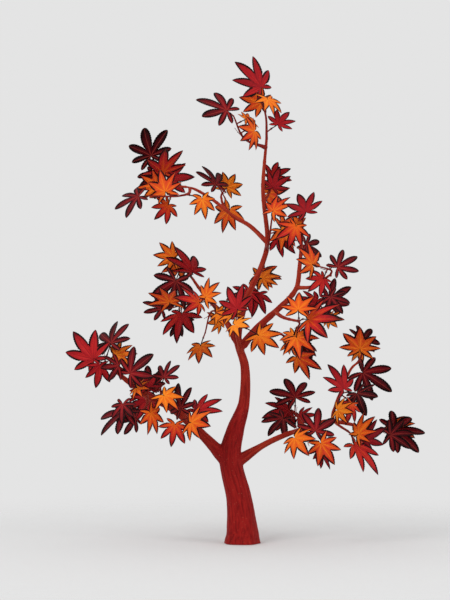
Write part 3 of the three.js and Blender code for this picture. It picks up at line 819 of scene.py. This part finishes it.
# %% [markdown]
# ## A maple leaf, lobe by lobe
#
# The leaf is a hand of seven lobes. Each lobe has a midrib, side veins that sweep forward to the
# margin, and small teeth. Next to the stalk the lobes are joined, out to a notch, and past it
# each goes its own way. A leaf could be cut from a flat sheet along a drawn outline, but its
# faces would ignore the veins. Here every lobe is a strip of faces laid along its own midrib,
# with rows that sweep forward as side veins do. Where two neighbours meet, their edges lie on the
# line halfway between them, and are welded there. The fold at each rib, the swelling between
# the veins and the darker margin then all fall on real edges of the mesh.

# %% Measures of a blade
ROW_STEP = 3.5  # mm between rows; every second row is a side vein
LAST_ROW = 0.6  # of a step, the least between the last row and the tip
VEIN_SWEEP = 0.55  # how far a row runs forward for each step it goes sideways
WIDEST_SECTOR = 50  # degrees that a lobe may spread to each side at the stalk
RIB_HALF = 0.95  # mm, half the midrib's width at its foot; a little broader than life
RIB_TAPER, MOST_RIB = 0.75, 0.3  # shares that it loses by the tip, and of a side that it may fill
MOST_MARGIN = 0.45  # the dark margin is its kind's "margin" in mm, and at most this share of a side
TOOTH, TOOTH_FADE = 0.9, 3  # mm that a tooth stands out, and how late it fades to the tip
FOLD = 0.24  # rise of a lobe's sides for each step away from its midrib
SWELLING = 0.45  # mm that the blade swells up between two side veins
SWELLING_ACROSS = np.array([0.2, 1, 0.7, 0.1])  # its shares from the rib to the margin
SWELLING_WIDTH = 6.0  # mm; a narrower side swells less
BLADE_HALF = 0.26  # mm, half the blade's thickness
RIB_DEPTH = 0.55  # mm that a midrib stands out under the blade
LOBES = 7  # of every kind of leaf
COLUMNS = 9  # corners across a lobe, from margin to margin
MIDDLE = COLUMNS // 2  # the corner on the midrib
WELD_DIGITS = 5  # decimals that two corners of a flat leaf share when they are one
RIB, BLADE, EDGE = 0, 1, 2  # what a face belongs to


def half_width(kind, share):
    """Half the width of a free lobe, as a share of the lobe's reach, at a share of that reach."""
    rise, fall = kind["rise"], kind["fall"]
    widest = rise / (rise + fall)
    peak = widest**rise * (1 - widest) ** fall
    belly = share**rise * (1 - share) ** fall / peak
    return kind["width"] * belly + kind["neck"] * (1 - share)


# %% One leaf of each kind, laid out flat
def lay_out(kind):
    """A flat leaf whose middle lobe points along x and is 1 long."""
    mm = 1 / kind["length"]
    halves = kind["lobes"][1:]
    lobes = [(-angle, reach) for angle, reach in reversed(halves)] + kind["lobes"]
    corners, rise, quads, facts = [], [], [], []
    for number, (angle, reach) in enumerate(lobes):
        before = lobes[number - 1][0] - (360 if number == 0 else 0)
        after = lobes[(number + 1) % len(lobes)][0] + (360 if number == len(lobes) - 1 else 0)
        shared = [
            math.tan(math.radians(min(abs(other - angle) / 2, WIDEST_SECTOR)))
            for other in (before, after)
        ]
        step = ROW_STEP * mm
        stations = [0, *np.arange(step, reach - LAST_ROW * step, step), reach]
        free_rows = []
        first = len(corners)
        for row, station in enumerate(stations):
            own = half_width(kind, station / reach) * reach
            free_sides = []
            ys, zs = np.zeros(COLUMNS), np.zeros(COLUMNS)
            for side in (0, 1):
                halfway = station * shared[side] / (1 - VEIN_SWEEP * shared[side])
                free = own < halfway
                width = own if free else halfway
                rib = min(RIB_HALF * mm * (1 - RIB_TAPER * station / reach), MOST_RIB * width)
                inside = width - min(kind["margin"] * mm, MOST_MARGIN * width)
                if free and row % 2 and row < len(stations) - 1:
                    width += TOOTH * mm * min(1, TOOTH_FADE * (1 - station / reach))
                y = np.array([rib, (rib + inside) / 2, inside, width])
                swell = SWELLING * mm * SWELLING_ACROSS * (row % 2)
                swell = swell * min(1, width / (SWELLING_WIDTH * mm))
                place = slice(MIDDLE + 1, None) if side else slice(MIDDLE - 1, None, -1)
                ys[place] = -y if side == 0 else y
                zs[place] = FOLD * y + swell
                free_sides.append(free)
            if row == len(stations) - 1:
                ys, zs = np.zeros(COLUMNS), np.zeros(COLUMNS)
            xs = station + VEIN_SWEEP * np.abs(ys)
            cos, sin = math.cos(math.radians(angle)), math.sin(math.radians(angle))
            corners += list(np.stack([xs * cos - ys * sin, xs * sin + ys * cos], 1))
            rise += list(zs)
            free_rows.append(free_sides)
        for row in range(len(stations) - 1):
            for column in range(COLUMNS - 1):
                a = first + row * COLUMNS + column
                quads.append((a, a + COLUMNS, a + COLUMNS + 1, a + 1))
                side = int(column >= MIDDLE)
                from_rib = abs(column + 0.5 - MIDDLE) / (MIDDLE - 0.5)
                free = free_rows[row][side] or free_rows[row + 1][side]
                at_rib = column in (MIDDLE - 1, MIDDLE)
                part = EDGE if from_rib == 1 and free else RIB if at_rib else BLADE
                facts.append((part, number, from_rib))
    return weld(np.array(corners), np.array(rise), np.array(quads), facts)


def weld(corners, rise, quads, facts):
    """Joins corners that share a place, and splits each four-sided face in two."""
    places = np.round(corners, WELD_DIGITS)
    _, keep, index = np.unique(places, axis=0, return_index=True, return_inverse=True)
    quads = index.ravel()[quads]
    faces, kept = [], []
    for (a, b, c, d), fact in zip(quads, facts):
        for triangle in ((a, b, c), (a, c, d)):
            if len(set(triangle)) == 3:
                faces.append(triangle)
                kept.append(fact)
    part, lobe, across = np.array(kept).T
    return {
        "corners": corners[keep], "rise": rise[keep], "faces": np.array(faces),
        "part": part.astype(int), "lobe": lobe.astype(int), "across": across,
    }


flat_leaves = {name: lay_out(kind) for name, kind in LEAF_KINDS.items()}
for name, flat in flat_leaves.items():
    print(name, "leaf has", len(flat["faces"]), "triangles on one side")

# %% [markdown]
# ## Autumn leaf: thin living leaf, its green gone
#
# In autumn a maple stops feeding its leaves. The green drains first from the parts farthest from
# the veins, and what stays is yellow carotene or red anthocyanin, dealt out differently to every
# spray. The surface is a thin cuticle of wax over soft cells, with an index near that of water
# and wax, so it has a broad, low sheen and never a mirror's gloss. The margin dries first and
# turns almost black.
#
# Each tint is one plain colour on the leaf's own faces, and one ramp of tints serves all leaves.
# A leaf takes a stretch of the ramp from its stalk to its tips, each lobe a little off the next,
# and each face strays by less than one step. That is how pigment lies in a real leaf, in small
# cells of even colour, and it stays in place on a mesh with thousands of small parts, where a
# painted pattern would need a very large picture. Each lobe is also made darker towards its
# sides, as if shaded there: that is painted shade, not pigment.

# %% Tints
LEAF_TINTS = [
    "#0f0203", "#2a0407", "#43070f", "#590a13", "#6f0d16", "#871119", "#9e161c", "#b01f20",
    "#bf2f1c", "#cc4119", "#d65318", "#df6519", "#e8761b", "#ee8722",
]
VEIN_TINT = "#96332a"  # the dusty red of a maroon leaf's veins
LEAF_ROUGHNESS = 0.52
LEAF_IOR = 1.42  # wax over wet cells
LEAF_SHINE = 0.1  # an old autumn cuticle is crazed and dull, well under a fresh leaf's 0.5

leaf_finishes = [
    plain_finish(f"waxy_autumn_leaf_{step:02}", tint, LEAF_ROUGHNESS, LEAF_IOR, LEAF_SHINE)
    for step, tint in enumerate([*LEAF_TINTS, VEIN_TINT])
]
VEIN = len(LEAF_TINTS)
print(len(leaf_finishes), "leaf finishes")

# %% How each kind of leaf wears the ramp
# From the stalk to the tips, then the margin and the ribs, as steps on the ramp of tints, and
# how many steps darker the very tips are, which the frost scorches first.
WEARS = {
    "maroon": {"stalk_end": 5.2, "tips": 2.6, "margin": 0.0, "rib": VEIN, "scorch": 2.0},
    "crimson": {"stalk_end": 7.2, "tips": 5.4, "margin": 0.3, "rib": 5, "scorch": 5.0},
    "ember": {"stalk_end": 11.5, "tips": 4.6, "margin": 0.3, "rib": 10, "scorch": 5.0},
    "flame": {"stalk_end": 12.3, "tips": 8.4, "margin": 0.6, "rib": 12, "scorch": 8.0},
    "amber": {"stalk_end": 13.2, "tips": 10.8, "margin": 0.8, "rib": 13, "scorch": 10.0},
}
FLAME_LENGTH = 68  # mm; an orange leaf longer than this wears flame, a smaller one amber
EMBERS = {  # crimson leaves that still have an orange heart: mass, and number from its stem's end
    ("upper_left_end", 1), ("upper_left_low", 2), ("right_limb_end", 2), ("right_mid", 3),
    ("left_low", 1), ("lower_left_near", 2), ("riser_inner", 3),
}
LEAF_STRAY, LOBE_STRAY, FACE_STRAY = 0.55, 0.4, 0.3  # steps on the ramp
TINT_PACE = 0.85  # a power; under 1 the tint turns quickest near the stalk
# Painted shade: each lobe is made darker towards its sides, as if shaded, by this many steps on the
# ramp.
SIDE_SHADE_STEPS, SIDE_SHADE_PACE = 1.4, 3  # steps darker at a lobe's sides, and a power that keeps it there
SCORCH_START = 0.78  # share of the leaf's length where the scorched tips begin
RIM_TINT, LIGHTEST_MARGIN = 1, 5  # the step of a leaf's cut rim, and the most for its margin


def leaf_tints(leaf, flat, reach, random):
    """The tint of each face on one side of a leaf."""
    kind = leaf["kind"]
    if kind == "orange":
        kind = "flame" if leaf["length"] > FLAME_LENGTH else "amber"
    elif (leaf["mass"], leaf["number"]) in EMBERS:
        kind = "ember"
    wear = WEARS[kind]
    strays = random.normal(0, LEAF_STRAY) + random.normal(0, LOBE_STRAY, LOBES)
    value = wear["stalk_end"] + (wear["tips"] - wear["stalk_end"]) * reach**TINT_PACE
    # painted shade: each lobe darkens from its midrib towards its sides
    value = value + strays[flat["lobe"]] - SIDE_SHADE_STEPS * flat["across"] ** SIDE_SHADE_PACE
    value = value - wear["scorch"] * np.clip((reach - SCORCH_START) / (1 - SCORCH_START), 0, 1)
    value = value + random.uniform(-FACE_STRAY, FACE_STRAY, len(value))
    tints = np.clip(np.round(value), 1, len(LEAF_TINTS) - 1).astype(int)
    edge = wear["margin"] + random.uniform(-FACE_STRAY, FACE_STRAY, len(value))
    edge = np.clip(np.round(edge), 0, LIGHTEST_MARGIN).astype(int)
    tints = np.where(flat["part"] == EDGE, edge, tints)
    return np.where(flat["part"] == RIB, wear["rib"], tints)


# %% [markdown]
# ## Every leaf in its place
#
# No two leaves hang alike. Each flat leaf is set on its stalk, drooped and folded, and its lobes
# are shifted a few degrees, shortened or curled a little. All of that is a smooth function of the
# angle round the leaf, so the welded edges stay welded. A second layer just below the first, and
# a narrow band between them round the outline, close the leaf into a thin solid.

# %% Set the leaves
LOBE_SHIFT = 4.0  # degrees that lobes stray
REACH_STRAY = 0.07  # share that a lobe is longer or shorter
CURL = 0.07  # share of a leaf's length that its tips curl up or down
CALM_HEART = 0.5  # share of a leaf's length by which the shifts have grown to their full size
LEAF_CREASE = 50  # degrees; a sharper fold stays sharp
LEAF_SEED = 11


def outline_edges(faces):
    """The directed edges that belong to one face only."""
    directed = np.vstack([faces[:, [0, 1]], faces[:, [1, 2]], faces[:, [2, 0]]]).tolist()
    known = {tuple(edge) for edge in directed}
    return np.array([edge for edge in directed if (edge[1], edge[0]) not in known])


outlines = {name: outline_edges(flat["faces"]) for name, flat in flat_leaves.items()}


def set_leaf(leaf, random):
    """Corners, triangles and tints of one leaf as a thin closed solid."""
    flat, outline = flat_leaves[leaf["kind"]], outlines[leaf["kind"]]
    across = np.cross(leaf["face"], leaf["point"])
    reach = np.linalg.norm(flat["corners"], axis=1)
    angle = np.arctan2(flat["corners"][:, 1], flat["corners"][:, 0])
    phases = random.uniform(0, 2 * math.pi, 4)
    share = np.minimum(reach / CALM_HEART, 1)  # nothing shifts where all lobes meet
    shifted = angle + math.radians(LOBE_SHIFT) * share * (
        np.sin(angle + phases[0]) + np.sin(2 * angle + phases[1])
    ) / 2
    length = leaf["length"] * (1 + REACH_STRAY * np.sin(2 * angle + phases[2]))
    droop = LEAF_DROOP + CURL * np.sin(3 * angle + phases[3])
    level = leaf["length"] * (flat["rise"] - droop * reach**2)
    middle = (
        leaf["hub"]
        + (length * reach * np.cos(shifted))[:, None] * leaf["point"]
        + (length * reach * np.sin(shifted))[:, None] * across
        + level[:, None] * leaf["face"]
    )
    on_rib = np.zeros(len(reach))
    on_rib[flat["faces"][flat["part"] == RIB].ravel()] = 1
    on_rib *= flat["rise"] <= TINY  # only the corners on a lobe's own line
    top = middle + BLADE_HALF * leaf["face"]
    under = middle - (BLADE_HALF + RIB_DEPTH * on_rib)[:, None] * leaf["face"]

    count = len(middle)
    faces = flat["faces"]
    a, b = outline[:, 0], outline[:, 1]
    band = np.vstack([np.stack([a, a + count, b + count], 1), np.stack([a, b + count, b], 1)])
    face_reach = reach[faces].mean(1)
    tints = leaf_tints(leaf, flat, face_reach, random)
    all_faces = np.vstack([faces, faces[:, ::-1] + count, band])
    rim = np.full(len(band), RIM_TINT)
    return np.vstack([top, under]), all_faces, np.concatenate([tints, tints, rim])


random = np.random.default_rng(LEAF_SEED)
blades = {name: Bundle() for name in LEAF_KINDS}
for leaf in leaves:
    blades[leaf["kind"]].add(*set_leaf(leaf, random))
for name, bundle in blades.items():
    piece = bundle.make(f"{name}_leaves", leaf_finishes)
    piece.data.set_sharp_from_angle(angle=math.radians(LEAF_CREASE))
    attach(piece, "root")
    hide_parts(*leaf_nodes)

# %% [markdown]
# ## Stems, twigs and stalks
#
# The stem of a spray is this year's and last year's wood. It carries the bough on without a
# break, and gives off a pair of side twigs at each bud. A leaf stalk is another thing: soft,
# smooth and darker, thickened at both ends, and it drops with its leaf. Both are closed tubes,
# swept along the same curves as the frame's twigs. Between the leaves, finer twigs carry pairs
# of pointed buds, as they do on any maple late in the year.

# %% Twig finishes
TWIG_RED, TWIG_ROUGHNESS = "#7a1c15", 0.55
STALK_RED, STALK_ROUGHNESS = "#2c0708", 0.42
BUD_RED, BUD_ROUGHNESS = "#4c0f0e", 0.48

twig_finishes = [
    plain_finish("young_maple_twig", TWIG_RED, TWIG_ROUGHNESS, BARK_IOR, BARK_SHINE),
    plain_finish("waxy_leaf_stalk", STALK_RED, STALK_ROUGHNESS, BARK_IOR, BARK_SHINE),
    plain_finish("scaly_winter_bud", BUD_RED, BUD_ROUGHNESS, BARK_IOR, BARK_SHINE),
]
TWIG, STALK, BUD = range(3)
print("twig finishes:", ", ".join(finish.name for finish in twig_finishes))

# %% Stems and their side twigs
SUNK, SIDE_SUNK = 6.0, 8.0  # mm that a stem starts inside its bough's tip, or its side
STEM_RINGS, STEM_CORNERS = 15, 10
SIDE_SWELL, SWELL_FADE = 0.5, 9  # swelling of a stem on a bough's side, and how fast it fades
TWIG_RADIUS = 2.1  # mm; a little thicker than life, as are the stalks
TWIG_SWELLS = 1 + 0.35 * np.array([1, 0.5, 0, 0, 0, 0.4, 0.9])  # at the stem and at the buds
STALK_START = 0.5  # share of the way to the blade
STALK_PLACES = [0.5, 0.56, 0.62, 0.95, 1]
STALK_RADII = [2.3, 2.1, 1.75, 1.7, 2.1]  # mm; thickest at both ends
STALK_RINGS, TWIG_CORNERS = 10, 8
BUD_LENGTH, BUD_RADIUS = 5.5, 1.5  # mm
BUD_STEPS, BUD_SHAPE = np.array([0, 0.25, 0.55, 0.8, 1.0]), np.array([0.6, 1, 0.9, 0.5, 0.08])
PAIR_PLACE, PAIR_OFF, PAIR_SIZE = 0.49, 1.2, 0.8  # of the buds at a stalk's foot; off in mm
FINE_CORNERS = 6  # round a bud or a fine twig

twigs, stalks = Bundle(), Bundle()


def add_bud(foot, way, size):
    """A small pointed bud."""
    line = foot + np.outer(BUD_STEPS * BUD_LENGTH * size, way)
    twigs.add(*sweep(line, BUD_RADIUS * size * BUD_SHAPE, FINE_CORNERS), BUD)


for name, (curve, radii) in stems.items():
    on_side = MASSES[name]["at"] < 1
    shares = np.linspace(0, 1, STEM_RINGS)
    line = curve.point(shares)
    start = line[0] - curve.heading(0) * (SIDE_SUNK if on_side else SUNK)
    swell = 1 + (SIDE_SWELL if on_side else 0.0) * np.exp(-shares * SWELL_FADE)
    girths = np.interp(shares, [0, 1], radii) * swell
    line, girths = np.vstack([start, line]), np.concatenate([girths[:1], girths])
    twigs.add(*sweep(line, girths, STEM_CORNERS), TWIG)

for leaf in leaves:
    curve = SmoothCurve([leaf["foot"], leaf["fork"], leaf["hub"]])
    line = curve.point(np.linspace(0, STALK_START, len(TWIG_SWELLS)))
    twigs.add(*sweep(line, TWIG_RADIUS * TWIG_SWELLS, TWIG_CORNERS), TWIG)
    shares = np.linspace(STALK_START, 1, STALK_RINGS)
    line = curve.point(shares)
    line[-1] -= leaf["face"] * BLADE_HALF
    girths = np.interp(shares, STALK_PLACES, STALK_RADII)
    stalks.add(*sweep(line, girths, TWIG_CORNERS), STALK)
    side = unit(np.cross(leaf["aim"], leaf["face"]))
    for way in (side, -side):
        add_bud(curve.point(PAIR_PLACE) + way * PAIR_OFF, unit(way + leaf["aim"]), PAIR_SIZE)

# %% Finer twigs
FINE_SEED = 5
FINE_SHARE = 0.55  # where on a stem a pair of them leaves it
FINE_LENGTH = (14, 30)  # mm
FINE_RADII, FINE_RINGS = (1.15, 0.75), 7
FINE_LEAN = (25, 60)  # degrees off the stem
FINE_RISE = 0.15  # rise of the tip, as a share of the length
FINE_SIDE = [0.2, 0.9, 0.4]  # a direction that no stem follows
TIP_SIZE, BUD_PAIR, BUD_PAIR_SIZE, BUD_LEAN = 0.75, 0.62, 0.6, 0.8  # of the buds on them

random = np.random.default_rng(FINE_SEED)
for curve, _ in stems.values():
    foot, way = curve.point(FINE_SHARE), curve.heading(FINE_SHARE)
    flat = unit(np.cross(way, FINE_SIDE))
    roll = random.uniform(0, 2 * math.pi)
    for opposite in (0, math.pi):
        out = turned(flat, way, roll + opposite)
        lean = math.radians(random.uniform(*FINE_LEAN))
        aim = unit(way * math.cos(lean) + out * math.sin(lean))
        length = random.uniform(*FINE_LENGTH)
        end = foot + aim * length + [0, 0, FINE_RISE * length]
        fine = SmoothCurve([foot, foot + aim * length / 2, end])
        line = fine.point(np.linspace(0, 1, FINE_RINGS))
        twigs.add(*sweep(line, np.linspace(*FINE_RADII, FINE_RINGS), FINE_CORNERS), TWIG)
        add_bud(end, fine.heading(1), TIP_SIZE)
        side = unit(np.cross(aim, out))
        for bud_way in (side, -side):
            add_bud(fine.point(BUD_PAIR), unit(bud_way + BUD_LEAN * aim), BUD_PAIR_SIZE)

for name, bundle in (("twigs", twigs), ("leaf_stalks", stalks)):
    piece = bundle.make(name, twig_finishes)
    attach(piece, "root")
    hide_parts(*leaf_nodes)

# %% [markdown]
# ## Floor and light
#
# The tree stands on a plain pale floor that runs out into pale air with no line between them, so
# that nothing competes with the outline of the leaves. The floor is a wide disc that fades with
# the distance from the tree. A bright overcast sky does most of the lighting, because leaves and
# bark are matt and small, and hard light would break the sprays into spots. One broad soft lamp
# from the upper left gives the trunk its roundness, and a weak one opposite keeps the shade open.

# %% Floor, sky and lamps
PALE = "#e4e4e4"
FLOOR_TONE = "#dcdcdc"
FLOOR_RADIUS = 4.0
FADE_START, FADE_END = 0.35, 1.9  # metres from the trunk
FLOOR_SIDES = 96
TREE_MIDDLE = (0, 0, 0.8)
LAMP_SIZE = 5.0  # metres
KEY_PLACE, KEY_WATTS = (-6.0, -7.4, 8.0), 500
FILL_PLACE, FILL_WATTS = (7.5, -6.0, 4.2), 220

floor_finish, tree = new_material("matt_pale_floor")
position = add_node(tree, "ShaderNodeNewGeometry").outputs["Position"]
away = add_node(tree, "ShaderNodeVectorMath", {"operation": "LENGTH"}, {0: position})
fade = map_range(tree, away.outputs["Value"], FADE_START, FADE_END, course="SMOOTHSTEP")
matt = add_node(tree, "ShaderNodeBsdfDiffuse", inputs={"Color": linear(FLOOR_TONE)}).outputs[0]
clear = add_node(tree, "ShaderNodeBsdfTransparent").outputs[0]
blend = add_node(tree, "ShaderNodeMixShader", inputs={0: fade, 1: matt, 2: clear}).outputs[0]
add_node(tree, "ShaderNodeOutputMaterial", inputs={"Surface": blend})

shape = bmesh.new()
bmesh.ops.create_circle(shape, cap_ends=True, segments=FLOOR_SIDES, radius=FLOOR_RADIUS)
floor_mesh = bpy.data.meshes.new("floor")
shape.to_mesh(floor_mesh)
shape.free()
floor_mesh.materials.append(floor_finish)
floor = put_in_scene("floor", floor_mesh)
floor.location.z = -MM

sky = bpy.data.worlds.new("overcast_sky")
sky.use_nodes = True
sky.node_tree.nodes["Background"].inputs["Color"].default_value = linear(PALE)
sky.node_tree.nodes["Background"].inputs["Strength"].default_value = 1.0
bpy.context.scene.world = sky
bpy.context.scene.view_settings.view_transform = "Standard"


def add_lamp(name, place, watts):
    """A square soft lamp that looks at the middle of the tree."""
    data = bpy.data.lights.new(name, "AREA")
    data.size, data.energy = LAMP_SIZE, watts
    lamp = put_in_scene(name, data)
    lamp.location = place
    lamp.rotation_euler = (Vector(TREE_MIDDLE) - Vector(place)).to_track_quat("-Z", "Y").to_euler()


add_lamp("soft_key", KEY_PLACE, KEY_WATTS)
add_lamp("soft_fill", FILL_PLACE, FILL_WATTS)
print("lit by the sky and two soft lamps")
